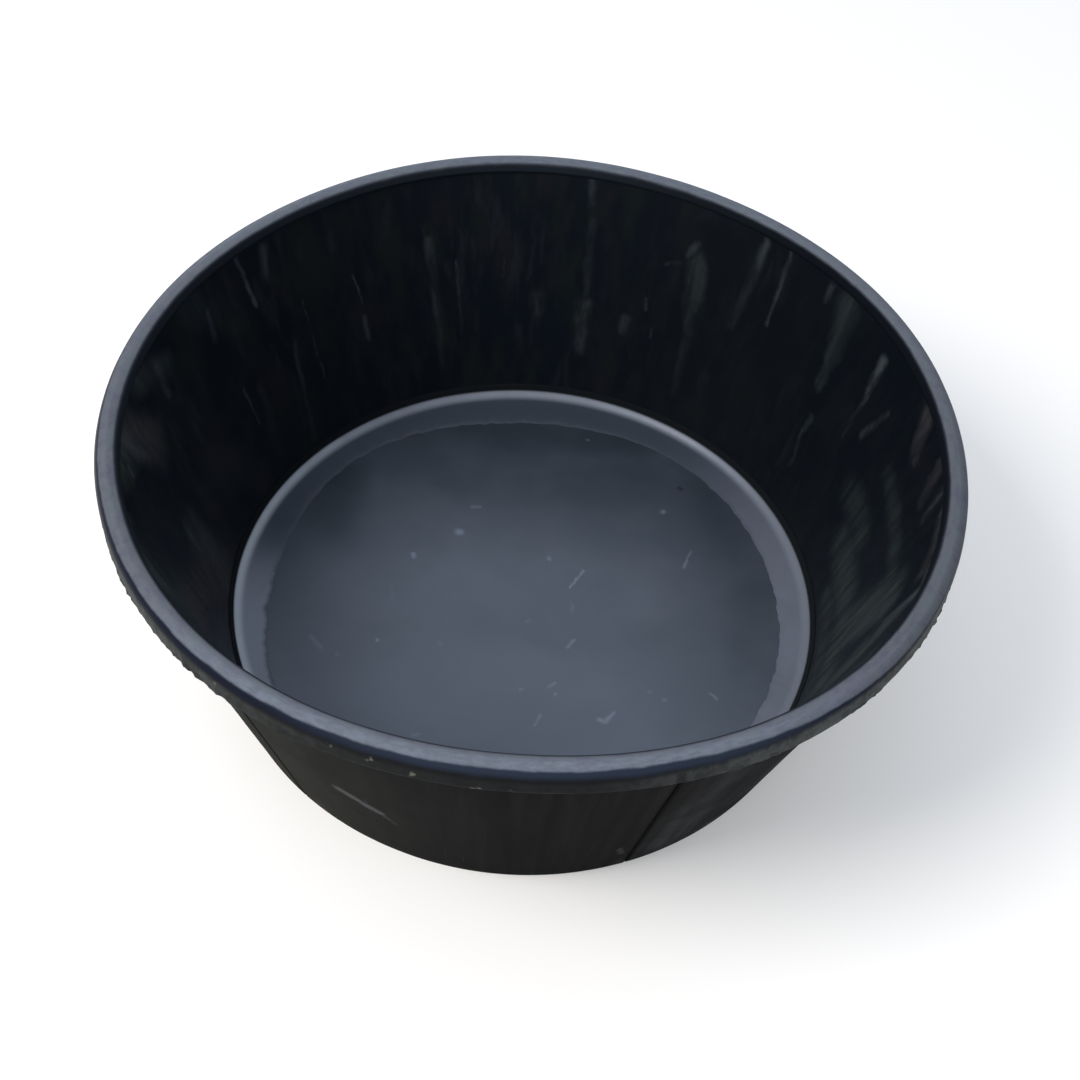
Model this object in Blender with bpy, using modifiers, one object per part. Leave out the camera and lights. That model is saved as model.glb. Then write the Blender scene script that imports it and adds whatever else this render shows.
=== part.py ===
# Flexible rubber tub, laid up from sheets and strips of thick rubber.
# Metres, +Z up. The origin is the centre of the footprint on the ground, and -Y is the front.
# Wall thicknesses are measured level, that is, square to the tub's axis.

import math

import bmesh
import bpy
from mathutils import Matrix, Vector

for old in list(bpy.data.objects):
    bpy.data.objects.remove(old, do_unlink=True)

# Whole tub
TUB_HEIGHT = 0.2495            # ground to the crown of the bead
BASE_RADIUS = 0.2515           # outer wall at the ground
RIM_RADIUS = 0.319             # outermost face of the bead
CLEARANCE = 0.0003             # gap between two plies that lie on each other

# Bottom
BASE_THICKNESS = 0.011
FLOOR_THICKNESS = 0.0125

# Corner ring
CORNER_WIDTH = 0.022           # liner's foot to the edge of the floor sheet
CORNER_SLOPE = math.radians(11)
CORNER_FILLET_RADIUS = 0.013
CORNER_LIP = 0.001             # thickness of the ring's upper edge

# Wall
LINER_THICKNESS = 0.0041
COVER_FOOT_THICKNESS = 0.0102
COVER_TOP_THICKNESS = 0.0043
COVER_FOOT_ROUND = 0.002
PANEL_COUNT = 6
SEAM_ANGLE = math.radians(-69)
SEAM_CHAMFER = 0.0008

# Bead
BEAD_DEPTH = 0.020             # crown to the underside of the outer skirt
BEAD_OVERHANG = 0.0104         # outer wall to the outermost face, at the underside
BEAD_GRIP = 0.0115             # how far the wall's edge stands in the groove
BEAD_SHOULDER_RADIUS = 0.010
BEAD_CROWN_SLOPE = math.radians(12)
BEAD_EDGE_RADIUS = 0.004       # inner edge of the mouth
BEAD_FOOT_ROUND = 0.0015
BEAD_SKIRT_THICKNESS = 0.002   # lip that covers the liner's edge on the inside
BEAD_SKIRT_DROP = 0.003        # how far that lip reaches below the wall's edge

# Fineness of the round shapes
STEPS_PER_PANEL = 16
ARC_STEP = math.radians(20)
SHARP_ANGLE = math.radians(32)
MERGE_DISTANCE = 0.00005
NEARLY = 0.00001               # metres or radians, when places are compared

FLAT = Vector((1, 0))          # direction in the turned section: radius, height
UP = Vector((0, 1))


# Heights and faces that several pieces share

bead_bottom = TUB_HEIGHT - BEAD_DEPTH
wall_top = bead_bottom + BEAD_GRIP
ply_bottom = BASE_THICKNESS + CLEARANCE
floor_top = ply_bottom + FLOOR_THICKNESS


def outer_face(z):
    rim = RIM_RADIUS - BEAD_OVERHANG
    return BASE_RADIUS + (rim - BASE_RADIUS) * z / bead_bottom


def cover_inner_face(z):
    taper = (COVER_TOP_THICKNESS - COVER_FOOT_THICKNESS) * z / bead_bottom
    return outer_face(z) - COVER_FOOT_THICKNESS - taper


def liner_outer_face(z):
    return cover_inner_face(z) - CLEARANCE


def liner_inner_face(z):
    return liner_outer_face(z) - LINER_THICKNESS


def on_face(face, z, inset=0.0):
    # Point of a wall face in the turned section, moved towards the axis by the inset.
    return Vector((face(z) - inset, z))


def wall_direction(face):
    return (on_face(face, wall_top) - on_face(face, 0)).normalized()


def crossing(point_a, along_a, point_b, along_b):
    # Where two endless straight lines of the section cross.
    reach = (point_b - point_a).cross(along_b) / along_a.cross(along_b)
    return point_a + along_a * reach


def rounded(corners):
    # Outline of (point, radius) corners, with a tangent arc wherever a radius is given.
    outline = []
    for index, (corner, radius) in enumerate(corners):
        if not radius:
            outline.append(corner)
            continue
        before = (corners[index - 1][0] - corner).normalized()
        after = (corners[(index + 1) % len(corners)][0] - corner).normalized()
        turn = math.pi - before.angle(after)
        start = corner + before * radius * math.tan(turn / 2)
        centre = corner + (before + after).normalized() * radius / math.cos(turn / 2)
        sign = math.copysign(1, after.cross(before))
        steps = math.ceil(turn / ARC_STEP)
        for step in range(steps + 1):
            spoke = start - centre
            spoke.rotate(Matrix.Rotation(sign * turn * step / steps, 2))
            outline.append(centre + spoke)
    return outline


# Tools that make the objects

def make_material(name, colour, roughness):
    material = bpy.data.materials.new(name)
    material.use_nodes = True
    material.diffuse_color = (*colour, 1)
    shader = material.node_tree.nodes["Principled BSDF"]
    shader.inputs["Base Color"].default_value = (*colour, 1)
    shader.inputs["Roughness"].default_value = roughness
    shader.inputs["Metallic"].default_value = 0
    return material


def place(name, mesh, parent):
    obj = bpy.data.objects.new(name, mesh)
    tub_collection.objects.link(obj)
    obj.parent = parent
    return obj


def finish_mesh(mesh, material):
    mesh.materials.append(material)
    mesh.shade_smooth()
    mesh.set_sharp_from_angle(angle=SHARP_ANGLE)


def turned_piece(name, outline, closed, material, parent):
    # A profile turned once round the tub's axis. Its outer side runs from top to bottom.
    edges = [(index, index + 1) for index in range(len(outline) - 1)]
    if closed:
        edges.append((len(outline) - 1, 0))
    profile = bpy.data.meshes.new(name + "_profile")
    profile.from_pydata([(point.x, 0, point.y) for point in outline], edges, [])
    obj = place(name, profile, parent)
    screw = obj.modifiers.new("turn", "SCREW")
    screw.axis = "Z"
    screw.steps = PANEL_COUNT * STEPS_PER_PANEL
    screw.render_steps = screw.steps
    screw.use_merge_vertices = True
    screw.merge_threshold = MERGE_DISTANCE
    depsgraph = bpy.context.evaluated_depsgraph_get()
    turned = bpy.data.meshes.new_from_object(obj.evaluated_get(depsgraph))
    turned.name = name
    obj.modifiers.remove(screw)
    obj.data = turned
    bpy.data.meshes.remove(profile)
    finish_mesh(turned, material)


def panel_mesh(name, outline, material):
    # A filled section swept through one panel's share of the circle. Half of the clearance at
    # a seam is left over at each end, and the outer corners of the ends are taken off.
    panel_angle = 2 * math.pi / PANEL_COUNT
    half_gap = CLEARANCE / 2 / BASE_RADIUS
    builder = bmesh.new()
    section = builder.faces.new([builder.verts.new((point.x, 0, point.y)) for point in outline])
    first_end = Matrix.Rotation(half_gap, 3, "Z")
    bmesh.ops.rotate(builder, cent=(0, 0, 0), matrix=first_end, verts=section.verts[:])
    bmesh.ops.spin(
        builder,
        geom=section.verts[:] + section.edges[:] + [section],
        axis=(0, 0, 1),
        cent=(0, 0, 0),
        angle=panel_angle - 2 * half_gap,
        steps=STEPS_PER_PANEL,
        use_duplicate=False,
    )
    bmesh.ops.recalc_face_normals(builder, faces=builder.faces[:])
    ends = (half_gap, panel_angle - half_gap)
    seam_edges = [edge for edge in builder.edges if runs_up_the_seam(edge, ends)]
    bmesh.ops.bevel(builder, geom=seam_edges, offset=SEAM_CHAMFER, segments=1, affect="EDGES")
    mesh = bpy.data.meshes.new(name)
    builder.to_mesh(mesh)
    builder.free()
    finish_mesh(mesh, material)
    return mesh


def runs_up_the_seam(edge, end_angles):
    # True for the edges of the outer face that lie in one of a panel's two end planes.
    angles = [math.atan2(vert.co.y, vert.co.x) for vert in edge.verts]
    in_one_end = any(all(abs(angle - end) < NEARLY for angle in angles) for end in end_angles)
    on_outside = all(vert.co.xy.length > outer_face(vert.co.z) - NEARLY for vert in edge.verts)
    return in_one_end and on_outside


# Pieces

def make_base_sheet(material, parent):
    outline = [
        Vector((0, BASE_THICKNESS)),
        on_face(liner_outer_face, BASE_THICKNESS),
        on_face(liner_outer_face, 0),
        Vector((0, 0)),
    ]
    turned_piece("base_sheet", outline, False, material, parent)


def make_floor_sheet(material, parent):
    outline = [
        Vector((0, floor_top)),
        Vector((floor_radius, floor_top)),
        Vector((floor_radius, ply_bottom)),
        Vector((0, ply_bottom)),
    ]
    turned_piece("floor_sheet", outline, False, material, parent)


def make_corner_ring(material, parent):
    # A sloping band that starts flush with the floor and curves up into the wall.
    inner = floor_radius + CLEARANCE
    along_wall = wall_direction(liner_inner_face)
    band_start = Vector((inner, floor_top))
    band = Vector((math.cos(CORNER_SLOPE), math.sin(CORNER_SLOPE)))
    wall_start = on_face(liner_inner_face, floor_top, CLEARANCE + CORNER_LIP)
    corner = crossing(band_start, band, wall_start, along_wall)
    arc_turn = band.angle(along_wall)
    upstand = CORNER_FILLET_RADIUS * math.tan(arc_turn / 2) + CORNER_LIP
    lip = corner + along_wall * upstand
    outline = rounded([
        (Vector((inner, ply_bottom)), 0),
        (band_start, 0),
        (corner, CORNER_FILLET_RADIUS),
        (lip, 0),
        (on_face(liner_inner_face, lip.y, CLEARANCE), 0),
        (on_face(liner_inner_face, ply_bottom, CLEARANCE), 0),
    ])
    turned_piece("corner_ring", outline, True, material, parent)


def make_wall_liner(material, parent):
    outline = [
        on_face(liner_inner_face, ply_bottom),
        on_face(liner_inner_face, wall_top),
        on_face(liner_outer_face, wall_top),
        on_face(liner_outer_face, ply_bottom),
    ]
    turned_piece("wall_liner", outline, True, material, parent)


def make_wall_covers(material, parent):
    # The panels start at the front right seam and go round anticlockwise.
    outline = rounded([
        (on_face(cover_inner_face, 0), 0),
        (on_face(cover_inner_face, wall_top), 0),
        (on_face(outer_face, wall_top), 0),
        (on_face(outer_face, 0), COVER_FOOT_ROUND),
    ])
    mesh = panel_mesh("wall_cover", outline, material)
    for index in range(PANEL_COUNT):
        cover = place("wall_cover_%d" % (index + 1), mesh, parent)
        cover.rotation_euler.z = index * 2 * math.pi / PANEL_COUNT


def make_rim_bead(material, parent):
    # A solid bead with a crowned top, a round outer shoulder and a groove for the wall's edge.
    crown = Vector((math.cos(BEAD_CROWN_SLOPE), math.sin(BEAD_CROWN_SLOPE)))
    shoulder_centre = Vector((RIM_RADIUS, TUB_HEIGHT)) - (FLAT + UP) * BEAD_SHOULDER_RADIUS
    crown_point = shoulder_centre + Vector((-crown.y, crown.x)) * BEAD_SHOULDER_RADIUS
    mouth_inset = CLEARANCE + BEAD_SKIRT_THICKNESS
    mouth_point = on_face(liner_inner_face, wall_top, mouth_inset)
    along_wall = wall_direction(liner_inner_face)
    groove_top = wall_top + CLEARANCE
    skirt_bottom = wall_top - BEAD_SKIRT_DROP
    outline = rounded([
        (on_face(liner_inner_face, skirt_bottom, mouth_inset), 0),
        (crossing(crown_point, crown, mouth_point, along_wall), BEAD_EDGE_RADIUS),
        (crossing(crown_point, crown, Vector((RIM_RADIUS, 0)), UP), BEAD_SHOULDER_RADIUS),
        (Vector((RIM_RADIUS, bead_bottom)), BEAD_FOOT_ROUND),
        (on_face(outer_face, bead_bottom, -CLEARANCE), 0),
        (on_face(outer_face, groove_top, -CLEARANCE), 0),
        (on_face(liner_inner_face, groove_top, CLEARANCE), 0),
        (on_face(liner_inner_face, skirt_bottom, CLEARANCE), 0),
    ])
    turned_piece("rim_bead", outline, True, material, parent)


# Build

tub_collection = bpy.data.collections.new("flexible_rubber_tub")
bpy.context.scene.collection.children.link(tub_collection)

floor_radius = liner_inner_face(ply_bottom) - CORNER_WIDTH

tub_axis = bpy.data.objects.new("tub_axis", None)
tub_axis.rotation_euler.z = SEAM_ANGLE
tub_collection.objects.link(tub_axis)

make_base_sheet(make_material("base rubber", (0.022, 0.023, 0.024), 0.55), tub_axis)
make_floor_sheet(make_material("worn floor rubber", (0.060, 0.068, 0.080), 0.42), tub_axis)
make_corner_ring(make_material("corner rubber", (0.075, 0.083, 0.095), 0.42), tub_axis)
make_wall_liner(make_material("liner rubber", (0.016, 0.018, 0.021), 0.50), tub_axis)
make_wall_covers(make_material("cover rubber", (0.021, 0.022, 0.021), 0.55), tub_axis)
make_rim_bead(make_material("bead rubber", (0.070, 0.078, 0.088), 0.45), tub_axis)
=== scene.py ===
import math

import bmesh
import bpy
from mathutils import Matrix, Vector


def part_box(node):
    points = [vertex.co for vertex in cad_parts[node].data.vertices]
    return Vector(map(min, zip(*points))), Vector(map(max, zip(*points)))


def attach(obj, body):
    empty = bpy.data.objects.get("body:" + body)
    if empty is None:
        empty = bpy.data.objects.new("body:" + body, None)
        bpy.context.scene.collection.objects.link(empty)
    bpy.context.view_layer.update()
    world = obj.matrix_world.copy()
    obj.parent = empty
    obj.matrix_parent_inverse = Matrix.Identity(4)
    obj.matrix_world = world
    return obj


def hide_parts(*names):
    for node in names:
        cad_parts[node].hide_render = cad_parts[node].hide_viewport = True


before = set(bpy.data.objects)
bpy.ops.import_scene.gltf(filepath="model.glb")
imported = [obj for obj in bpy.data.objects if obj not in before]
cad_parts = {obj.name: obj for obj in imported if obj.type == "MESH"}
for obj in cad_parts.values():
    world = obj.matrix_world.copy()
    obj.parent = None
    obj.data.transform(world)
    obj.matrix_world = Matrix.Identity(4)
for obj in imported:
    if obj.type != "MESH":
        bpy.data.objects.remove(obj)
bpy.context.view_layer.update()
print("frame loaded:", ", ".join(sorted(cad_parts)))

# The tub's sizes in metres. Its origin is on the ground in its middle, and its front is towards -Y.
tub = {
    "height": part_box("rim_bead")[1].z,
    "baseRadius": 0.2515,        # outer wall at the ground
    "rimRadius": 0.319,          # outermost face of the bead
    "beadBottom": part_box("rim_bead")[0].z,
    "beadOverhang": 0.0104,      # the bead's outer face past the wall
    "wallTop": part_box("wall_liner")[1].z,
    "baseTop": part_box("base_sheet")[1].z,
    "floorBottom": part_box("floor_sheet")[0].z,
    "floorTop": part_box("floor_sheet")[1].z,
    "band": 0.022,               # from the floor sheet's edge to the wall
    "coverFoot": 0.0102,         # thickness of the outer ply at the ground and at the bead
    "coverTop": 0.0043,
    "liner": 0.0041,             # thickness of the inner ply
    "gap": 0.0003,               # between two plies
    "panels": 6,
    "seamAngle": math.radians(-69),
}
panelAngle = 2 * math.pi / tub["panels"]
wallRadius = 0.28                # mean radius of the wall, for distances round it

# How the mouth has gone out of round: order, size at the rim, direction in degrees.
outOfRound = [
    (1, 0.0010, -50),
    (2, 0.0008, -63),
    (3, 0.0022, -32),
    (4, 0.0009, 40),
    (5, 0.0010, 23),
]
outOfRoundGrowth = 1.3           # power of the height, with which that grows up the wall


def outerFace(z):
    rim = tub["rimRadius"] - tub["beadOverhang"]
    return tub["baseRadius"] + (rim - tub["baseRadius"]) * z / tub["beadBottom"]


def coverInner(z):
    return outerFace(z) - tub["coverFoot"] - (tub["coverTop"] - tub["coverFoot"]) * z / tub["beadBottom"]


def linerOuter(z):
    return coverInner(z) - tub["gap"]


def linerInner(z):
    return linerOuter(z) - tub["liner"]


floorRadius = linerInner(tub["floorBottom"]) - tub["band"]

# The floor sheet's edge was cut by hand. How it wanders is given as for the mouth.
jointWaves = [
    (1, 0.0056, -87),
    (2, 0.0011, 16),
    (3, 0.0008, -5),
    (4, 0.0028, 45),
    (5, 0.0015, -6),
]
joint = {
    "noise": (75.0, 3.0, 0.7),   # for its ragged part: scale, detail, roughness
    "cut": (0.3, 0.7),           # values of the noise at which that is furthest in and out
    "ragged": 0.0012,
    "floorSide": (-0.030, -0.005),   # distances from the joint over which the rubber comes to follow it
    "ringSide": (0.004, 0.0185),     # and over which it ceases to
    "height": (0.034, 0.040),    # heights over which it ceases to, up the corner
}


# Outlines of the turned pieces: radius and height, in the section through the axis.

def onFace(face, z, inset=0.0):
    return Vector((face(z) - inset, z))


def crossing(pointA, alongA, pointB, alongB):
    return pointA + alongA * (pointB - pointA).cross(alongB) / alongA.cross(alongB)


def rounded(corners, step=math.radians(9)):
    # Each corner is a point and a radius; a radius gives a tangent arc.
    outline = []
    for index, (corner, radius) in enumerate(corners):
        if not radius:
            outline.append(corner)
            continue
        before = (corners[index - 1][0] - corner).normalized()
        after = (corners[(index + 1) % len(corners)][0] - corner).normalized()
        turn = math.pi - before.angle(after)
        start = corner + before * radius * math.tan(turn / 2)
        centre = corner + (before + after).normalized() * radius / math.cos(turn / 2)
        sign = math.copysign(1, after.cross(before))
        count = max(2, math.ceil(turn / step))
        for part in range(count + 1):
            spoke = start - centre
            spoke.rotate(Matrix.Rotation(sign * turn * part / count, 2))
            outline.append(centre + spoke)
    return outline


def divided(outline, longest, closed=True):
    # Long straight stretches get points on the way, so that the piece can bend there.
    pairs = list(zip(outline, outline[1:] + outline[:1]))
    if not closed:
        pairs = pairs[:-1]
    points = []
    for start, end in pairs:
        count = max(1, math.ceil((end - start).length / longest))
        points += [start.lerp(end, part / count) for part in range(count)]
    if not closed:
        points.append(outline[-1])
    return points


# Node helpers, for geometry and for materials.

class Desk:
    def __init__(self, tree):
        self.tree = tree

    def add(self, kind, inputs=None, **settings):
        node = self.tree.nodes.new(kind)
        for name, value in settings.items():
            setattr(node, name, value)
        self.give(node, inputs or {})
        return node

    def give(self, node, inputs):
        # each input gets a link or a plain value
        for key, value in inputs.items():
            if isinstance(value, bpy.types.NodeSocket):
                self.tree.links.new(value, node.inputs[key])
            else:
                node.inputs[key].default_value = value

    def calc(self, operation, *values):
        return self.add("ShaderNodeMath", dict(enumerate(values)), operation=operation).outputs[0]

    def plus(self, first, second):
        return self.calc("ADD", first, second)

    def minus(self, first, second):
        return self.calc("SUBTRACT", first, second)

    def times(self, first, second):
        return self.calc("MULTIPLY", first, second)

    def opposite(self, value):
        # of a 0 to 1 value
        return self.minus(1.0, value)

    def total(self, values):
        result = values[0]
        for value in values[1:]:
            result = self.plus(result, value)
        return result

    def largest(self, values):
        result = values[0]
        for value in values[1:]:
            result = self.calc("MAXIMUM", result, value)
        return result

    def vector(self, operation, *values, output="Vector"):
        node = self.add("ShaderNodeVectorMath", dict(enumerate(values)), operation=operation)
        return node.outputs[output]

    def scaled(self, vector, factor):
        node = self.add("ShaderNodeVectorMath", {0: vector, "Scale": factor}, operation="SCALE")
        return node.outputs[0]

    def split(self, vector):
        return self.add("ShaderNodeSeparateXYZ", {0: vector}).outputs

    def join(self, x, y, z):
        return self.add("ShaderNodeCombineXYZ", {0: x, 1: y, 2: z}).outputs[0]

    def ease(self, value, low, high):
        # 0 below low, 1 above high, smooth between them
        inputs = {0: value, 1: low, 2: high}
        node = self.add("ShaderNodeMapRange", inputs, interpolation_type="SMOOTHSTEP", clamp=False)
        return node.outputs[0]

    def spread(self, value, low, high):
        # a 0 to 1 value, stretched from low to high
        return self.add("ShaderNodeMapRange", {0: value, 3: low, 4: high}, clamp=False).outputs[0]

    def thinned(self, mark, pattern, least):
        # a mark that is whole where the pattern is 1, and down to its least share where it is 0
        return self.times(mark, self.spread(pattern, least, 1.0))

    def noiseNode(self, vector, scale, detail, seed, rough=0.5, bend=0.0):
        inputs = {"Vector": vector, "W": seed, "Scale": scale, "Detail": detail, "Roughness": rough,
                  "Distortion": bend}
        return self.add("ShaderNodeTexNoise", inputs, noise_dimensions="4D")

    def noise(self, vector, scale, detail, seed, rough=0.5, bend=0.0):
        return self.noiseNode(vector, scale, detail, seed, rough, bend).outputs[0]

    def pattern(self, vector, noise, cut):
        # 0 where the noise is below the cut, 1 where it is above
        return self.ease(self.noise(vector, *noise), *cut)

    def shake(self, colour, size):
        # a noise's colour as a shift that points any way
        return self.scaled(self.vector("SUBTRACT", colour, (0.5, 0.5, 0.5)), size)

    def blend(self, factor, first, second):
        inputs = {0: factor, 6: first, 7: second}
        return self.add("ShaderNodeMix", inputs, data_type="RGBA").outputs[2]


def shifted(limits, distance):
    return [limit + distance for limit in limits]


# One Geometry Nodes tree turns every piece of the tub from its outline.

wholeSteps = 384                 # faces round the tub
fineSteps = 768                  # where an edge is ragged
weldDistance = 0.00001
sharpEdge = math.radians(35)

# Soft lumps, as rubber has that was laid up and cured by hand.
softLumps = {"size": 0.0009, "scale": 11.0, "detail": 2.0, "seed": 4.0}

# Ragged flash where the mould halves met, along a piece's lower outer edge.
flashShape = {
    "noise": (120.0, 3.0, 0.65), # scale, detail, roughness
    "cut": (0.36, 0.80),         # values of the noise between which the flash grows
    "patchNoise": (22.0, 2.0),
    "patchCut": (0.36, 0.66),
    "reach": 0.005,              # height above its edge at which it has died out
    "frontwards": (0.0, -0.4),   # it grows towards the front, by the Y of an outward unit vector
    "sideways": (0.2, 0.6),      # but not in the middle of it, by that vector's X
    "least": 0.12,               # its share elsewhere
}

turnInputs = [
    ("Guide radius", "NodeSocketFloat"),
    ("Whole turn", "NodeSocketBool"),
    ("First angle", "NodeSocketFloat"),
    ("Sweep", "NodeSocketFloat"),
    ("Steps", "NodeSocketInt"),
    ("Tub height", "NodeSocketFloat"),
    ("Lump size", "NodeSocketFloat"),
    ("Lump scale", "NodeSocketFloat"),
    ("Flash size", "NodeSocketFloat"),
    ("Flash height", "NodeSocketFloat"),
    ("Seed", "NodeSocketFloat"),
    ("Material", "NodeSocketMaterial"),
]


def waves(desk, angle, sizes):
    heights = []
    for order, size, direction in sizes:
        turned = desk.times(desk.minus(angle, math.radians(direction)), order)
        heights.append(desk.times(desk.calc("COSINE", turned), size))
    return desk.total(heights)


def makeTurnTree():
    tree = bpy.data.node_groups.new("turnedRubber", "GeometryNodeTree")
    tree.interface.new_socket("Geometry", in_out="INPUT", socket_type="NodeSocketGeometry")
    for name, kind in turnInputs:
        tree.interface.new_socket(name, in_out="INPUT", socket_type=kind)
    tree.interface.new_socket("Geometry", in_out="OUTPUT", socket_type="NodeSocketGeometry")
    desk = Desk(tree)
    given = desk.add("NodeGroupInput").outputs

    def seeded(place, scale, detail, rough=0.5):
        return desk.noiseNode(place, scale, detail, given["Seed"], rough).outputs

    # The section stands square to the guide line; its X is away from the axis and its Y is down.
    ring = desk.add(
        "GeometryNodeCurvePrimitiveCircle",
        {"Resolution": given["Steps"], "Radius": given["Guide radius"]},
        mode="RADIUS",
    )
    arcPoints = desk.plus(given["Steps"], 1)
    arc = desk.add(
        "GeometryNodeCurveArc",
        {
            "Resolution": arcPoints,
            "Radius": given["Guide radius"],
            "Start Angle": given["First angle"],
            "Sweep Angle": given["Sweep"],
        },
        mode="RADIUS",
    )
    guide = desk.add(
        "GeometryNodeSwitch",
        {"Switch": given["Whole turn"], "False": arc.outputs[0], "True": ring.outputs[0]},
        input_type="GEOMETRY",
    ).outputs[0]
    section = desk.add("GeometryNodeMeshToCurve", {"Mesh": given["Geometry"]}).outputs[0]
    swept = desk.add(
        "GeometryNodeCurveToMesh",
        {"Curve": guide, "Profile Curve": section, "Fill Caps": True},
    ).outputs[0]
    welding = {"Geometry": swept, "Distance": weldDistance}
    welded = desk.add("GeometryNodeMergeByDistance", welding).outputs[0]

    # Materials that follow the section read the place a point had in the mould.
    place = desk.add("GeometryNodeInputPosition").outputs[0]
    welded = desk.add(
        "GeometryNodeStoreNamedAttribute",
        {"Geometry": welded, "Name": "asMoulded", "Value": place},
        data_type="FLOAT_VECTOR",
    ).outputs[0]

    # The mouth's out of round grows from nothing at the ground to its full size at the rim.
    x, y, z = desk.split(place)
    angle = desk.calc("ARCTAN2", y, x)
    outwards = desk.vector("NORMALIZE", desk.join(x, y, 0.0))
    rise = desk.calc("POWER", desk.calc("DIVIDE", z, given["Tub height"]), outOfRoundGrowth)
    bulge = desk.times(waves(desk, angle, outOfRound), rise)

    # The joint between the floor sheet and the corner ring wanders, and both follow it.
    away = desk.vector("DOT_PRODUCT", outwards, place, output="Value")
    cut = waves(desk, angle, jointWaves)
    ragged = seeded(desk.scaled(outwards, floorRadius), *joint["noise"])[0]
    ragged = desk.spread(desk.ease(ragged, *joint["cut"]), -joint["ragged"], joint["ragged"])
    cut = desk.plus(cut, ragged)
    near = desk.minus(desk.ease(away, *shifted(joint["floorSide"], floorRadius)),
                      desk.ease(away, *shifted(joint["ringSide"], floorRadius)))
    near = desk.times(near, desk.opposite(desk.ease(z, *joint["height"])))
    cut = desk.times(cut, near)

    # The soft lumps, and the flash.
    soft = seeded(place, given["Lump scale"], softLumps["detail"])[1]
    soft = desk.shake(soft, given["Lump size"])
    rag = desk.ease(seeded(place, *flashShape["noise"])[0], *flashShape["cut"])
    patch = desk.ease(seeded(place, *flashShape["patchNoise"])[0], *flashShape["patchCut"])
    rag = desk.times(rag, patch)
    over = desk.minus(z, given["Flash height"])
    low = desk.opposite(desk.ease(over, 0.0, flashShape["reach"]))
    towardsX, towardsY, _ = desk.split(outwards)
    front = desk.ease(towardsY, *flashShape["frontwards"])
    front = desk.times(front, desk.ease(desk.calc("ABSOLUTE", towardsX), *flashShape["sideways"]))
    front = desk.spread(front, flashShape["least"], 1.0)
    rag = desk.times(desk.times(rag, low), desk.times(front, given["Flash size"]))

    out = desk.scaled(outwards, desk.total([bulge, cut, rag]))
    shift = desk.vector("ADD", out, soft)
    moved = desk.add("GeometryNodeSetPosition", {"Geometry": welded, "Offset": shift})
    real = desk.add("GeometryNodeRealizeInstances", {"Geometry": moved.outputs[0]}).outputs[0]
    coating = {"Geometry": real, "Material": given["Material"]}
    coated = desk.add("GeometryNodeSetMaterial", coating).outputs[0]
    desk.add("NodeGroupOutput", {"Geometry": coated})
    return tree


turnTree = makeTurnTree()


def turnedMesh(name, outline, material, closed=True, firstAngle=None, steps=wholeSteps, flash=(0.0, 0.0)):
    # An outline that isn't closed begins and ends on the axis. A first angle makes one panel.
    # The flash is its size and the height of its edge.
    guideRadius = sum(point.x for point in outline) / len(outline) if closed else tub["baseRadius"]
    section = bpy.data.meshes.new(name + "Section")
    edges = [(index, index + 1) for index in range(len(outline) - 1)]
    if closed:
        edges.append((len(outline) - 1, 0))
    section.from_pydata([(point.x - guideRadius, -point.y, 0) for point in outline], edges, [])
    piece = bpy.data.objects.new(name, section)
    bpy.context.scene.collection.objects.link(piece)
    values = {
        "Guide radius": guideRadius,
        "Whole turn": firstAngle is None,
        "First angle": firstAngle or 0.0,
        "Sweep": panelAngle - tub["gap"] / tub["baseRadius"],
        "Steps": steps if firstAngle is None else steps // tub["panels"],
        "Tub height": tub["height"],
        "Lump size": softLumps["size"],
        "Lump scale": softLumps["scale"],
        "Flash size": flash[0],
        "Flash height": flash[1],
        "Seed": softLumps["seed"],
        "Material": material,
    }
    turn = piece.modifiers.new("turn", "NODES")
    turn.node_group = turnTree
    for socket in turnTree.interface.items_tree:
        if socket.in_out == "INPUT" and socket.name in values:
            turn[socket.identifier] = values[socket.name]
    depsgraph = bpy.context.evaluated_depsgraph_get()
    mesh = bpy.data.meshes.new_from_object(piece.evaluated_get(depsgraph))
    piece.modifiers.remove(turn)
    piece.data = mesh
    bpy.data.meshes.remove(section)
    mesh.name = name
    return piece


def facesOut(mesh):
    shape = bmesh.new()
    shape.from_mesh(mesh)
    bmesh.ops.recalc_face_normals(shape, faces=shape.faces[:])
    if shape.calc_volume(signed=True) < 0:
        bmesh.ops.reverse_faces(shape, faces=shape.faces[:])
    shape.to_mesh(mesh)
    shape.free()


def finished(piece, node):
    facesOut(piece.data)
    piece.data.shade_smooth()
    piece.data.set_sharp_from_angle(angle=sharpEdge)
    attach(piece, "root")
    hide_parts(node)


# What the rubber of all the pieces shares. Colours are linear, as the shader takes them. In each
# piece's dictionary a noise is its scale, detail and seed, and for some its roughness and bend.
# Streaks have two scales, round the tub and up the wall. A cut is the two values of a noise
# between which a pattern comes in, and a pattern is a noise and its cut. A side of the tub is its
# direction and its width, in degrees. A name with Least is the share of a colour or a mark that is
# left where a pattern thins it most. For marks, one with Edge is the scale, size and seed of the
# noise that breaks their edges.

rubber = {
    "plainTint": (1, 1, 1, 1),   # tints of the gloss
    "coolTint": (0.84, 0.92, 1.0, 1),
    "fineGrain": (1100.0, 2.0, 1.0),
    "coarseGrain": (130.0, 3.0, 2.0),
    "grainDepth": 0.001,
}


def startMaterial(name, look):
    material = bpy.data.materials.new(name)
    material.use_nodes = True
    desk = Desk(material.node_tree)
    shader = material.node_tree.nodes["Principled BSDF"]
    desk.give(shader, {"Specular IOR Level": look["specular"], "Specular Tint": look["tint"]})
    where = desk.add("ShaderNodeTexCoord").outputs["Object"]
    return material, desk, shader, where


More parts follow.
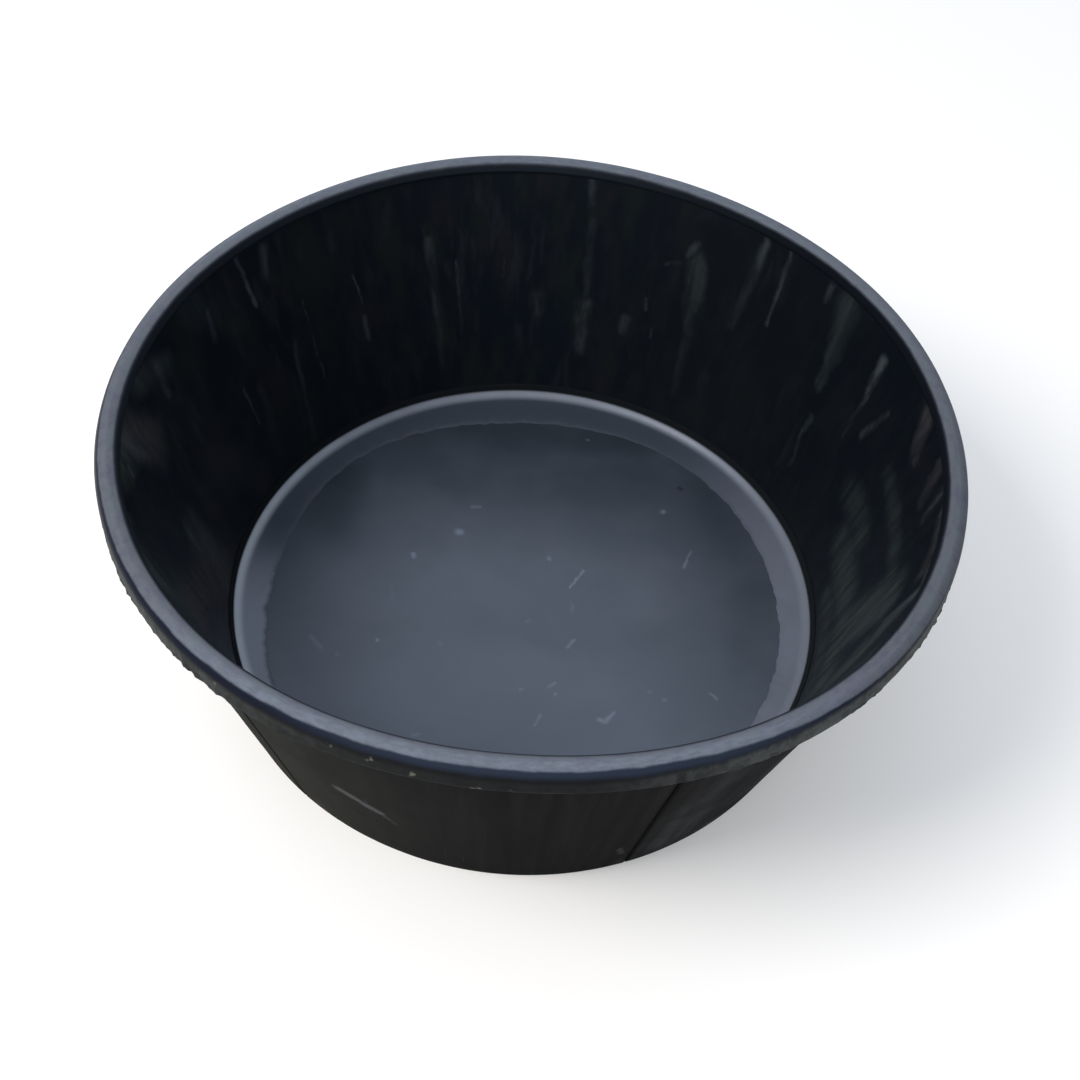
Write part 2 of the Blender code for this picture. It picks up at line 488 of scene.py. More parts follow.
def finishMaterial(desk, shader, where, look, colour, roughness):
    # The rubber's grain is a bump; its two strengths are those of the fine and the coarse noise.
    fine = desk.times(desk.noise(where, *rubber["fineGrain"]), look["grain"][0])
    coarse = desk.times(desk.noise(where, *rubber["coarseGrain"]), look["grain"][1])
    height = desk.plus(fine, coarse)
    relief = {"Height": height, "Distance": rubber["grainDepth"], "Strength": 1.0}
    bump = desk.add("ShaderNodeBump", relief)
    desk.give(shader, {"Base Color": colour, "Roughness": roughness, "Normal": bump.outputs[0]})


def moulded(desk):
    # where a point was before the mouth went out of round
    return desk.add("ShaderNodeAttribute", attribute_name="asMoulded").outputs["Vector"]


def polar(desk, where):
    # distance from the axis, height, and a unit vector that points away from the axis
    x, y, z = desk.split(where)
    radius = desk.calc("SQRT", desk.plus(desk.times(x, x), desk.times(y, y)))
    side = desk.vector("NORMALIZE", desk.join(x, y, 0.0))
    return radius, z, side


def facing(desk, side, degrees, width):
    # 1 towards one side of the tub, easing to 0 at width degrees away from it
    towards = (math.cos(math.radians(degrees)), math.sin(math.radians(degrees)), 0.0)
    likeness = desk.vector("DOT_PRODUCT", side, towards, output="Value")
    return desk.ease(likeness, math.cos(math.radians(width)), 1.0)


def streaks(desk, side, height, around, upwards, detail, seed, rough=0.5, bend=0.0):
    # a noise with its own scale round the tub and up the wall
    risen = desk.join(0.0, 0.0, desk.times(height, upwards))
    place = desk.vector("ADD", desk.scaled(side, around), risen)
    return desk.noiseNode(place, 1.0, detail, seed, rough, bend).outputs


def streaked(desk, side, height, noise, cut):
    return desk.ease(streaks(desk, side, height, *noise)[0], *cut)


def fromAbove(desk, where):
    return desk.vector("MULTIPLY", where, (1, 1, 0))


def unrolled(desk, side, z, middle):
    # the wall laid flat: distance round it from the middle angle in degrees, and height
    x, y, _ = desk.split(side)
    ahead = (math.cos(math.radians(middle)), math.sin(math.radians(middle)))
    along = desk.plus(desk.times(x, ahead[0]), desk.times(y, ahead[1]))
    across = desk.minus(desk.times(y, ahead[0]), desk.times(x, ahead[1]))
    turn = desk.calc("ARCTAN2", across, along)
    return desk.join(desk.times(turn, wallRadius), z, 0.0)


def shaken(desk, place, where, scale, size, seed, detail=3.0, rough=0.6):
    # places moved a little, so that a mark has no straight edge
    noise = desk.noiseNode(where, scale, detail, seed, rough).outputs[1]
    return desk.vector("ADD", place, desk.shake(noise, size))


markInputs = [
    ("Place", "NodeSocketVector"),
    ("Start", "NodeSocketVector"),
    ("End", "NodeSocketVector"),
    ("Start width", "NodeSocketFloat"),
    ("End width", "NodeSocketFloat"),
    ("Core", "NodeSocketFloat"),
    ("Strength", "NodeSocketFloat"),
    ("End strength", "NodeSocketFloat"),
]


def makeMarkGroup():
    # One stroke of dirt or wear from Start to End; it is full inside its core and gone at its width.
    group = bpy.data.node_groups.new("mark", "ShaderNodeTree")
    for name, kind in markInputs:
        group.interface.new_socket(name, in_out="INPUT", socket_type=kind)
    group.interface.new_socket("Amount", in_out="OUTPUT", socket_type="NodeSocketFloat")
    desk = Desk(group)
    given = desk.add("NodeGroupInput").outputs
    stroke = desk.vector("SUBTRACT", given["End"], given["Start"])
    reach = desk.vector("SUBTRACT", given["Place"], given["Start"])
    along = desk.vector("DOT_PRODUCT", reach, stroke, output="Value")
    whole = desk.vector("DOT_PRODUCT", stroke, stroke, output="Value")
    # Held between 0 and 1 by two plain nodes. The renderer puts off a node's own clamp, and with
    # so many strokes it would then run out of room and show the whole material black.
    part = desk.calc("MINIMUM", desk.calc("MAXIMUM", desk.calc("DIVIDE", along, whole), 0.0), 1.0)
    offset = desk.vector("SUBTRACT", reach, desk.scaled(stroke, part))
    away = desk.vector("LENGTH", offset, output="Value")
    halfWidth = desk.times(desk.spread(part, given["Start width"], given["End width"]), 0.5)
    inside = desk.opposite(desk.ease(desk.calc("DIVIDE", away, halfWidth), given["Core"], 1.0))
    amount = desk.times(inside, desk.spread(part, given["Strength"], given["End strength"]))
    desk.add("NodeGroupOutput", {"Amount": amount})
    return group


markGroup = makeMarkGroup()


def marks(desk, place, strokes, spot, core=0.0):
    # The strongest of several strokes. Each is start, end, their widths in mm and their strengths.
    # The core is the share of the width that is full. Each stroke is compared at once, so that
    # the renderer never has to hold them all.
    strongest = 0.0
    for start, end, widths, strengths in strokes:
        node = desk.add("ShaderNodeGroup", {
            "Place": place,
            "Start": spot(*start),
            "End": spot(*end),
            "Start width": widths[0] / 1000,
            "End width": widths[1] / 1000,
            "Core": core,
            "Strength": strengths[0],
            "End strength": strengths[1],
        }, node_tree=markGroup)
        strongest = desk.calc("MAXIMUM", strongest, node.outputs[0])
    return strongest


def onFloor(x, y):
    return (x / 1000, y / 1000, 0)


def onWall(middle):
    # angle in degrees and height in mm, for a wall unrolled from the middle angle
    def spot(angle, height):
        return (math.radians(angle - middle) * wallRadius, height / 1000, 0)
    return spot


# Base sheet: the disc that stands on the ground.

baseSheet = {
    "step": 0.02,                # longest stretch of the outline between two points
    "bare": (0.012, 0.012, 0.012, 1),
    "scuffed": (0.045, 0.045, 0.042, 1),
    "specular": 0.1,
    "tint": rubber["plainTint"],
    "roughness": 0.75,
    "grain": (0.03, 0.1),
    "scuffs": ((40.0, 4.0, 41.0, 0.65), (0.45, 0.75)),
}


def baseMaterial():
    look = baseSheet
    material, desk, shader, where = startMaterial("baseRubber", look)
    colour = desk.blend(desk.pattern(where, *look["scuffs"]), look["bare"], look["scuffed"])
    finishMaterial(desk, shader, where, look, colour, look["roughness"])
    return material


def makeBaseSheet():
    outline = divided([
        Vector((0, tub["baseTop"])),
        onFace(linerOuter, tub["baseTop"]),
        onFace(linerOuter, 0),
        Vector((0, 0)),
    ], baseSheet["step"], closed=False)
    finished(turnedMesh("baseSheet", outline, baseMaterial(), closed=False), "base_sheet")


# Floor sheet: the disc on top of it, worn blue-grey.

floorSheet = {
    "step": 0.006,
    "spread": 0.0002,            # how far it fills its gap to the corner ring
    "bare": (0.029, 0.036, 0.047, 1),
    "cloud": (0.044, 0.050, 0.062, 1),
    # painted sheen, where the floor is made lighter towards its front and middle
    "paintedSheen": (0.065, 0.073, 0.093, 1),
    "shade": (0.009, 0.014, 0.020, 1),
    "speck": (0.125, 0.145, 0.175, 1),
    "pit": (0.006, 0.007, 0.010, 1),
    "specular": 0.72,
    "tint": rubber["coolTint"],
    "roughness": (0.30, 0.44),
    "grain": (0.02, 0.05),
    "cloudShape": (1, 1.3, 1),   # the clouds are narrower from front to back
    "clouds": ((9.0, 4.0, 3.0, 0.6), (0.34, 0.68)),
    "cloudLeast": 0.7,
    "roughNoise": (20.0, 3.0, 5.0),
    "softEdge": (9.0, 0.06, 6.0),
    "nickEdge": (180.0, 0.005, 10.0),
}

# Nicks and scratches on the floor, in mm from its middle.
floorNicks = [
    ((-62, 66), (-60, 66), (11, 10), (0.75, 0.75)),
    ((-99, 37), (-98, 34), (8, 7), (0.85, 0.75)),
    ((-52, 97), (-45, 98), (7, 6), (0.4, 0.3)),
    ((20, 43), (20, 42), (7, 7), (0.6, 0.6)),
    ((121, 107), (120, 106), (8, 8), (0.6, 0.6)),
    ((50, 192), (50, 191), (6, 6), (0.35, 0.35)),
    ((50, 31), (39, 11), (4.5, 3.5), (0.75, 0.85)),
    ((145, 62), (138, 42), (3.5, 3.5), (0.5, 0.6)),
    ((42, -6), (42, -15), (4.5, 4.5), (0.3, 0.3)),
    ((44, -45), (39, -53), (5.5, 5), (0.6, 0.5)),
    ((6, -27), (4, -29), (6, 5), (0.3, 0.25)),
    ((30, -90), (25, -94), (5, 4), (0.6, 0.5)),
    ((31, -100), (31, -101), (5, 5), (0.6, 0.6)),
    ((3, -98), (2, -98), (5, 5), (0.5, 0.5)),
    ((20, -122), (15, -132), (4.5, 4), (0.65, 0.6)),
    ((66, -122), (72, -124), (6, 6), (0.8, 0.8)),
    ((72, -124), (78, -115), (6, 5), (0.8, 0.8)),
    ((120, -99), (119, -99), (6, 6), (0.5, 0.5)),
    ((108, -93), (107, -92), (5, 5), (0.4, 0.4)),
    ((162, -95), (157, -89), (5, 4), (0.6, 0.5)),
    ((-174, -59), (-164, -70), (7, 6), (0.3, 0.35)),
    ((-151, -75), (-150, -76), (5, 5), (0.35, 0.35)),
    ((-119, -59), (-119, -58), (5, 5), (0.95, 0.95)),
    ((-67, -57), (-66, -58), (7, 7), (0.2, 0.2)),
    ((-114, 0), (-111, -15), (5, 4), (0.2, 0.15)),
    ((-80, -148), (-76, -148), (5, 5), (0.5, 0.5)),
]
floorPits = [
    ((136, 137), (138, 136), (8, 7), (0.9, 0.9)),
]
floorShades = [
    ((-178, 116), (-168, 66), (110, 80), (1.0, 0.7)),
    ((-110, 200), (90, 205), (150, 150), (0.9, 0.9)),
    ((-90, 140), (110, 140), (170, 170), (0.45, 0.55)),
    ((150, 170), (178, 60), (120, 100), (0.85, 0.6)),
    ((196, 30), (196, -60), (80, 60), (0.55, 0.35)),
]
# Painted sheen: the floor is made lighter towards its front and middle.
floorPaintedSheen = [
    ((-90, -120), (80, -125), (290, 290), (1.0, 1.0)),
    ((-120, 0), (60, -10), (190, 220), (0.7, 0.7)),
]


def floorMaterial():
    look = floorSheet
    material, desk, shader, where = startMaterial("floorRubber", look)
    flat = fromAbove(desk, where)
    cloud = desk.pattern(desk.vector("MULTIPLY", where, look["cloudShape"]), *look["clouds"])
    colour = desk.blend(cloud, look["bare"], look["cloud"])
    soft = shaken(desk, flat, where, *look["softEdge"])
    # painted sheen, lighter at the front and middle
    paintedSheen = desk.thinned(marks(desk, soft, floorPaintedSheen, onFloor), cloud, look["cloudLeast"])
    colour = desk.blend(paintedSheen, colour, look["paintedSheen"])
    shade = marks(desk, soft, floorShades, onFloor)
    shade = desk.times(shade, desk.spread(cloud, 1.0, look["cloudLeast"]))
    colour = desk.blend(shade, colour, look["shade"])
    place = shaken(desk, flat, where, *look["nickEdge"])
    colour = desk.blend(marks(desk, place, floorNicks, onFloor), colour, look["speck"])
    colour = desk.blend(marks(desk, place, floorPits, onFloor, core=0.1), colour, look["pit"])
    roughness = desk.spread(desk.noise(where, *look["roughNoise"]), *look["roughness"])
    finishMaterial(desk, shader, where, look, colour, roughness)
    return material


def makeFloorSheet():
    edge = floorRadius + floorSheet["spread"]
    outline = divided([
        Vector((0, tub["floorTop"])),
        Vector((edge, tub["floorTop"])),
        Vector((edge, tub["floorBottom"])),
        Vector((0, tub["floorBottom"])),
    ], floorSheet["step"], closed=False)
    piece = turnedMesh("floorSheet", outline, floorMaterial(), closed=False, steps=fineSteps)
    finished(piece, "floor_sheet")


# Corner ring: the sloping band round the floor, and the fillet that rises on to the wall.

cornerRing = {
    "slope": math.radians(11),   # of the band
    "fillet": 0.013,
    "lip": 0.001,                # thickness of the ring's upper edge, and half its rise
    "lipEdge": 0.0001,           # what is left of that thickness at the very top
    "step": 0.004,
    "arcStep": math.radians(6),
    "band": (0.029, 0.036, 0.048, 1),
    "paleBand": (0.115, 0.122, 0.148, 1),
    # painted highlight on the fillet, brighter on the left and dimmer on the right
    "worn": (0.195, 0.208, 0.238, 1),
    "wornRight": (0.135, 0.147, 0.168, 1),
    "wornLeft": (0.430, 0.455, 0.480, 1),   # painted highlight at its brightest, on the left
    "above": (0.0012, 0.0016, 0.0022, 1),   # the thin lip on the liner, darkened with painted shade
    "specular": 0.30,
    "tint": rubber["coolTint"],
    "roughness": (0.40, 0.95),   # of the band and of the lip
    "grain": (0.02, 0.05),
    "right": (-24, 84),          # sides of the tub
    "left": (-155, 42),
    "leftSheenSpot": (-155, 36),
    "dimSheenSide": (-10, 80),
    "brightSheenSide": (195, 75),
    "patches": ((16.0, 3.0, 9.0, 0.6), (0.3, 0.65)),
    "patchLeast": 0.75,
    "spotShare": 0.9,
    "fade": (0.0, 0.0050),       # distances from the joint over which the floor's colour fades out, the corner comes to be pale with its painted highlight, and the dark lip begins
    "wornFade": (0.0172, 0.0240),    # the corner comes to be worn pale,
    "lipFade": (0.0249, 0.0264),     # and the dark lip begins
    "fadeNoise": (60.0, 3.0, 17.0, 0.6),
    "fadeWander": 0.004,
    "fadeShare": (0.85, 0.10),   # how much of the floor's colour, away from the right and at the right
    "wornStreaks": (9.0, 0.0, 3.0, 51.0, 0.6),
    "wornShare": (0.70, 1.15),
}

# Scratches on the band, as on the floor.
bandNicks = [
    ((-215, 5), (-221, -8), (5, 4), (0.7, 0.6)),
    ((-219, -8), (-226, -24), (4, 4), (0.6, 0.4)),
    ((-213, -22), (-211, -25), (6, 6), (0.6, 0.6)),
]


def cornerMaterial():
    look = cornerRing
    material, desk, shader, where = startMaterial("cornerRubber", look)
    radius, z, side = polar(desk, moulded(desk))
    right = facing(desk, side, *look["right"])
    pale = desk.largest([right, facing(desk, side, *look["left"])])
    pale = desk.thinned(pale, desk.pattern(where, *look["patches"]), look["patchLeast"])
    colour = desk.blend(pale, look["band"], look["paleBand"])
    # painted highlight on the band at the left
    spot = desk.times(facing(desk, side, *look["leftSheenSpot"]), look["spotShare"])
    colour = desk.blend(spot, colour, look["worn"])

    # the floor's colour beside the joint, and scratches
    wander = desk.spread(desk.noise(where, *look["fadeNoise"]), -look["fadeWander"], look["fadeWander"])
    edge = desk.ease(desk.plus(radius, wander), *shifted(look["fade"], floorRadius))
    faded = desk.times(desk.opposite(edge), desk.spread(right, *look["fadeShare"]))
    colour = desk.blend(faded, colour, floorSheet["cloud"])
    place = shaken(desk, fromAbove(desk, where), where, *floorSheet["nickEdge"])
    colour = desk.blend(marks(desk, place, bandNicks, onFloor), colour, floorSheet["speck"])

    # the corner's fillet, pale with a painted highlight, and the lip above it, darkened with painted
    # shade
    uneven = desk.spread(streaks(desk, side, z, *look["wornStreaks"])[0], *look["wornShare"])
    rising = desk.ease(radius, *shifted(look["wornFade"], floorRadius))
    # the painted highlight, brightest at the left and dimmer at the right
    worn = desk.blend(facing(desk, side, *look["brightSheenSide"]), look["worn"], look["wornLeft"])
    worn = desk.blend(facing(desk, side, *look["dimSheenSide"]), worn, look["wornRight"])
    colour = desk.blend(desk.times(rising, uneven), colour, worn)
    above = desk.ease(radius, *shifted(look["lipFade"], floorRadius))
    colour = desk.blend(above, colour, look["above"])
    finishMaterial(desk, shader, where, look, colour, desk.spread(above, *look["roughness"]))
    return material


def makeCornerRing():
    inner = floorRadius + tub["gap"]
    alongWall = (onFace(linerInner, tub["wallTop"]) - onFace(linerInner, 0)).normalized()
    band = Vector((math.cos(cornerRing["slope"]), math.sin(cornerRing["slope"])))
    bandStart = Vector((inner, tub["floorTop"]))
    wallStart = onFace(linerInner, tub["floorTop"], tub["gap"] + cornerRing["lip"])
    corner = crossing(bandStart, band, wallStart, alongWall)
    lip = corner + alongWall * cornerRing["fillet"] * math.tan(band.angle(alongWall) / 2)
    top = lip.y + cornerRing["lip"] * 2
    outline = divided(rounded([
        (Vector((inner, tub["floorBottom"])), 0),
        (bandStart, 0),
        (corner, cornerRing["fillet"]),
        (lip, 0),
        (onFace(linerInner, top, tub["gap"] + cornerRing["lipEdge"]), 0),
        (onFace(linerInner, top, tub["gap"]), 0),
        (onFace(linerInner, tub["floorBottom"], tub["gap"]), 0),
    ], cornerRing["arcStep"]), cornerRing["step"])
    piece = turnedMesh("cornerRing", outline, cornerMaterial(), steps=fineSteps)
    finished(piece, "corner_ring")


# Wall liner: the inner ply, black, with drips, dried mud and dust.

wallLiner = {
    "step": 0.008,
    "bare": (0.0031, 0.0049, 0.0076, 1),
    "paintedShade": (0.0016, 0.0026, 0.0040, 1),    # painted shade towards the right, where the key light falls
    "faint": (0.0110, 0.0125, 0.0145, 1),
    "mossy": (0.0062, 0.0086, 0.0080, 1),
    "brown": (0.0080, 0.0074, 0.0100, 1),
    "drip": (0.048, 0.055, 0.059, 1),
    "mud": (0.034, 0.029, 0.031, 1),
    "dust": (0.034, 0.042, 0.040, 1),
    "specular": 0.20,
    "tint": rubber["coolTint"],
    "roughness": (0.42, 0.85),   # bare and dirty
    "grain": (0.02, 0.06),
    "middle": 90,                # angle at the middle of the unrolled wall
    "paintedShadeSide": (25, 70),
    "paintedShadeShare": 0.6,
    "broadStreaks": ((6.0, 8.0, 2.0, 12.0), (0.42, 0.62)),
    "fineStreaks": ((24.0, 22.0, 3.0, 11.0, 0.6, 0.4), (0.46, 0.72)),
    "patches": (9.0, 13.0, 4.0, 16.0, 0.6),
    "breaks": (26.0, 26.0, 4.0, 13.0, 0.65),
    "runs": ((34.0, 12.0, 4.0, 18.0, 0.65), (0.36, 0.64)),
    "mossyCut": (0.46, 0.66),
    "brownCut": (0.50, 0.68),
    "dustLeast": 0.35,
    "mudCut": (0.32, 0.62),
    "mudLeast": 0.35,
    "dripCut": (0.36, 0.60),
    "dripLeast": 0.15,
    "cloudyEdge": (30.0, 0.022, 14.0),
    "wavyEdge": (75.0, 0.008, 15.0),
}

# Drips, dried mud and dust on the inside of the wall: angle in degrees, height in mm.
linerDrips = [
    ((147.9, 241), (147.0, 192), (7, 8), (0.8, 0.75)),
    ((142.2, 231), (143.6, 204), (13.5, 11), (0.45, 0.35)),
    ((142.6, 246), (142.3, 228), (2.5, 4), (0.4, 0.4)),
    ((156.6, 216), (157.6, 192), (8, 12), (0.35, 0.25)),
    ((171.6, 224), (172.5, 198), (16, 16), (0.35, 0.3)),
    ((137.6, 170), (137.1, 80), (3.5, 3.5), (0.45, 0.25)),
    ((126.7, 172), (126.0, 146), (4, 4), (0.55, 0.4)),
    ((126.2, 130), (126.0, 110), (7, 7), (0.4, 0.4)),
    ((155.7, 138), (155.1, 98), (4, 4), (0.35, 0.3)),
    ((141.6, 140), (143.4, 45), (9.5, 9.5), (0.32, 0.12)),
    ((111.7, 184), (111.2, 116), (13.5, 13.5), (0.36, 0.30)),
    ((111.2, 116), (111.0, 60), (12, 12), (0.22, 0.06)),
    ((97.8, 162), (98.0, 144), (3.5, 3.5), (0.5, 0.4)),
    ((106.9, 162), (106.4, 92), (4.5, 5.5), (0.40, 0.36)),
    ((91.2, 126), (91.0, 112), (19, 16), (0.30, 0.22)),
    ((82.2, 122), (81.8, 78), (23, 16), (0.60, 0.25)),
    ((82.4, 200), (82.0, 130), (13.5, 9.5), (0.20, 0.14)),
    ((83.4, 246), (83.0, 216), (8, 9.5), (0.60, 0.36)),
    ((73.7, 118), (74.1, 106), (17.5, 15), (0.30, 0.26)),
    ((70.2, 142), (69.9, 132), (5.5, 5.5), (0.35, 0.3)),
    ((68.1, 116), (67.9, 108), (4, 4), (0.35, 0.3)),
    ((63.2, 206), (64.6, 194), (12, 9.5), (0.45, 0.3)),
    ((65.4, 186), (68.0, 180), (5.5, 5.5), (0.35, 0.2)),
    ((51.4, 234), (51.6, 210), (12, 13.5), (0.60, 0.40)),
    ((51.7, 210), (52.6, 150), (15, 12), (0.26, 0.10)),
    ((46.7, 246), (46.2, 168), (6, 5.5), (0.42, 0.40)),
    ((37.5, 233), (37.4, 220), (12, 11), (0.40, 0.30)),
    ((21.4, 218), (21.0, 192), (16, 11), (0.75, 0.62)),
    ((20.8, 192), (20.5, 144), (9.5, 5.5), (0.45, 0.15)),
    ((14.5, 196), (16.8, 162), (9.5, 12), (0.30, 0.36)),
    ((-9, 238), (-10, 210), (20, 16), (0.50, 0.35)),
    ((-27, 228), (-26, 180), (16, 11), (0.55, 0.30)),
    ((190, 238), (186, 196), (27, 13.5), (0.42, 0.30)),
    ((193, 222), (193, 216), (11, 11), (0.5, 0.5)),
]
linerMud = [
    ((188, 238), (182, 190), (50, 56), (0.9, 0.6)),
    ((186, 90), (184, 50), (50, 60), (0.5, 0.4)),
    ((6.5, 236), (3.0, 208), (30, 20), (0.75, 0.5)),
    ((-4.0, 234), (-6.0, 206), (20, 18), (0.55, 0.4)),
    ((-13, 238), (-22, 226), (22, 26), (0.7, 0.6)),
    ((152, 126), (152.5, 60), (16, 20), (0.22, 0.15)),
    ((205, 126), (186, 56), (80, 80), (0.85, 0.65)),
    ((170, 110), (160, 60), (60, 50), (0.20, 0.15)),
]
linerDust = [
    ((62.6, 190), (61.4, 158), (26, 30), (0.50, 0.40)),
    ((61.0, 150), (60.0, 66), (17, 14), (0.36, 0.12)),
    ((32.6, 228), (30.6, 158), (36, 16), (0.42, 0.36)),
    ((29.6, 128), (28.6, 80), (10, 9), (0.42, 0.30)),
    ((6, 172), (-18, 164), (26, 40), (0.25, 0.55)),
    ((-20, 172), (-16, 92), (70, 80), (0.85, 0.9)),
    ((4, 92), (-26, 84), (60, 74), (0.60, 0.9)),
    ((-27, 226), (-31, 110), (20, 60), (0.80, 1.0)),
    ((-38, 200), (-44, 80), (60, 90), (0.7, 0.7)),
    ((-2, 60), (-30, 56), (44, 44), (0.45, 0.6)),
    ((12, 124), (2, 118), (44, 56), (0.26, 0.45)),
    ((194, 240), (183, 206), (60, 44), (0.75, 0.45)),
    ((212, 220), (208, 120), (70, 80), (0.7, 0.7)),
    ((178, 236), (170, 214), (40, 30), (0.5, 0.3)),
    ((186, 110), (184, 50), (60, 60), (0.75, 0.65)),
    ((160, 232), (152, 190), (50, 40), (0.20, 0.12)),
    ((216, 238), (204, 232), (18, 16), (0.9, 0.7)),
    ((-24, 236), (-42, 238), (20, 24), (0.9, 1.0)),
]


def linerMaterial():
    look = wallLiner
    material, desk, shader, where = startMaterial("linerRubber", look)
    _, z, side = polar(desk, where)
    mossy, brown, _ = desk.split(streaks(desk, side, z, *look["patches"])[1])
    colour = desk.blend(desk.ease(mossy, *look["mossyCut"]), look["bare"], look["mossy"])
    colour = desk.blend(desk.ease(brown, *look["brownCut"]), colour, look["brown"])
    faint = desk.times(streaked(desk, side, z, *look["fineStreaks"]),
                       streaked(desk, side, z, *look["broadStreaks"]))
    colour = desk.blend(faint, colour, look["faint"])
    # painted shade towards the right, where the key light falls
    paintedShade = desk.times(facing(desk, side, *look["paintedShadeSide"]), look["paintedShadeShare"])
    colour = desk.blend(paintedShade, colour, look["paintedShade"])

    # dust first, mud over it, and drips over both
    flat = unrolled(desk, side, z, look["middle"])
    spot = onWall(look["middle"])
    broken = streaks(desk, side, z, *look["breaks"])[0]
    cloudy = shaken(desk, flat, where, *look["cloudyEdge"])
    dusty = marks(desk, cloudy, linerDust, spot, core=0.1)
    dusty = desk.thinned(dusty, streaked(desk, side, z, *look["runs"]), look["dustLeast"])
    colour = desk.blend(dusty, colour, look["dust"])
    muddy = marks(desk, cloudy, linerMud, spot, core=0.2)
    muddy = desk.thinned(muddy, desk.ease(broken, *look["mudCut"]), look["mudLeast"])
    colour = desk.blend(muddy, colour, look["mud"])
    wavy = shaken(desk, flat, where, *look["wavyEdge"])
    dripped = marks(desk, wavy, linerDrips, spot)
    dripped = desk.thinned(dripped, desk.ease(broken, *look["dripCut"]), look["dripLeast"])
    colour = desk.blend(dripped, colour, look["drip"])
    dirty = desk.largest([dripped, muddy, dusty])
    finishMaterial(desk, shader, where, look, colour, desk.spread(dirty, *look["roughness"]))
    return material


def makeWallLiner():
    outline = divided([
        onFace(linerInner, tub["floorBottom"]),
        onFace(linerInner, tub["wallTop"]),
        onFace(linerOuter, tub["wallTop"]),
        onFace(linerOuter, tub["floorBottom"]),
    ], wallLiner["step"])
    finished(turnedMesh("wallLiner", outline, linerMaterial()), "wall_liner")


# Wall cover: the outer ply, in panels that butt at the seams.

wallCover = {
    "step": 0.008,
    "footRound": 0.002,
    "edgeBevel": 0.0013,
    "bevelSegments": 2,
    "bevelFrom": math.radians(60),
    "bare": (0.0085, 0.0085, 0.0090, 1),
    "streak": (0.0140, 0.0137, 0.0140, 1),
    "olive": (0.025, 0.025, 0.021, 1),
    "dusty": (0.042, 0.044, 0.044, 1),
    "scrape": (0.12, 0.125, 0.125, 1),
    # painted shade along each seam's groove, wider than the groove so that it covers the lit bevel
    "seam": (0.0026, 0.0028, 0.0027, 1),
    "seamFade": (0.0017, 0.00442),   # distances from a seam over which its painted shade fades
    "specular": 0.02,
    "tint": rubber["plainTint"],
    "roughness": 0.8,
    "grain": (0.03, 0.10),
    "middle": -90,
    "streaks": (24.0, 4.0, 4.0, 21.0, 0.6),
    "streakCut": (0.36, 0.68),
    "blotches": ((24.0, 3.0, 22.0, 0.6), (0.34, 0.66)),
    "oliveSide": (-150, 62),
    "oliveLeast": 0.55,
    "dirtEdge": (24.0, 0.03, 23.0),
    "dirtLeast": 0.4,            # where the blotches are weakest
    "dirtCut": (0.36, 0.62),
    "dirtStreakLeast": 0.45,     # between two streaks
    "scrapeEdge": (120.0, 0.006, 24.0),
    "scuffs": ((60.0, 14.0, 3.0, 25.0, 0.7), (0.66, 0.76)),
    "scuffShare": 0.28,
}

# Scrapes and dirt on the outside of the wall, as on the inside.
coverScrapes = [
    ((-115.2, 111), (-112.1, 104), (17, 15), (0.60, 0.60)),
    ((-111.2, 100), (-109.3, 94), (16, 14), (0.65, 0.60)),
    ((-109.3, 93), (-107.1, 79), (8, 6), (0.35, 0.20)),
    ((-71.8, 50), (-71.0, 34), (8, 9), (0.28, 0.22)),
]
coverDirt = [
    ((-70, 6), (-50, 10), (34, 44), (0.7, 1.0)),
    ((-124, 8), (-122, 40), (40, 16), (0.8, 0.1)),
    ((-61, 14), (-60, 190), (90, 60), (1.0, 0.9)),
    ((-48, 60), (-46, 150), (70, 70), (0.9, 0.7)),
]


def nearSeam(desk, side, radius, shift=0.0):
    # 1 at the seam between two panels, easing to 0 beside it
    x, y, _ = desk.split(side)
    turn = desk.minus(desk.calc("ARCTAN2", y, x), tub["seamAngle"] + shift)
    turn = desk.calc("DIVIDE", turn, panelAngle)
    off = desk.calc("ABSOLUTE", desk.minus(turn, desk.calc("ROUND", turn)))
    away = desk.times(desk.times(off, panelAngle), radius)
    return desk.opposite(desk.ease(away, *wallCover["seamFade"]))


def coverMaterial():
    look = wallCover
    material, desk, shader, where = startMaterial("coverRubber", look)
    radius, z, side = polar(desk, where)
    streak = streaks(desk, side, z, *look["streaks"])[0]
    colour = desk.blend(desk.ease(streak, *look["streakCut"]), look["bare"], look["streak"])
    flat = unrolled(desk, side, z, look["middle"])
    spot = onWall(look["middle"])
    blotch = desk.pattern(where, *look["blotches"])
    olive = desk.thinned(facing(desk, side, *look["oliveSide"]), blotch, look["oliveLeast"])
    colour = desk.blend(olive, colour, look["olive"])
    cloudy = shaken(desk, flat, where, *look["dirtEdge"])
    dirt = desk.thinned(marks(desk, cloudy, coverDirt, spot, core=0.1), blotch, look["dirtLeast"])
    dirt = desk.thinned(dirt, desk.ease(streak, *look["dirtCut"]), look["dirtStreakLeast"])
    colour = desk.blend(dirt, colour, look["dusty"])
    wavy = shaken(desk, flat, where, *look["scrapeEdge"])
    scraped = marks(desk, wavy, coverScrapes, spot, core=0.1)
    scuffs = desk.times(streaked(desk, side, z, *look["scuffs"]), look["scuffShare"])
    colour = desk.blend(desk.largest([scraped, scuffs]), colour, look["scrape"])
    # painted shade along the seams
    colour = desk.blend(nearSeam(desk, side, radius), colour, look["seam"])
    finishMaterial(desk, shader, where, look, colour, look["roughness"])
    return material


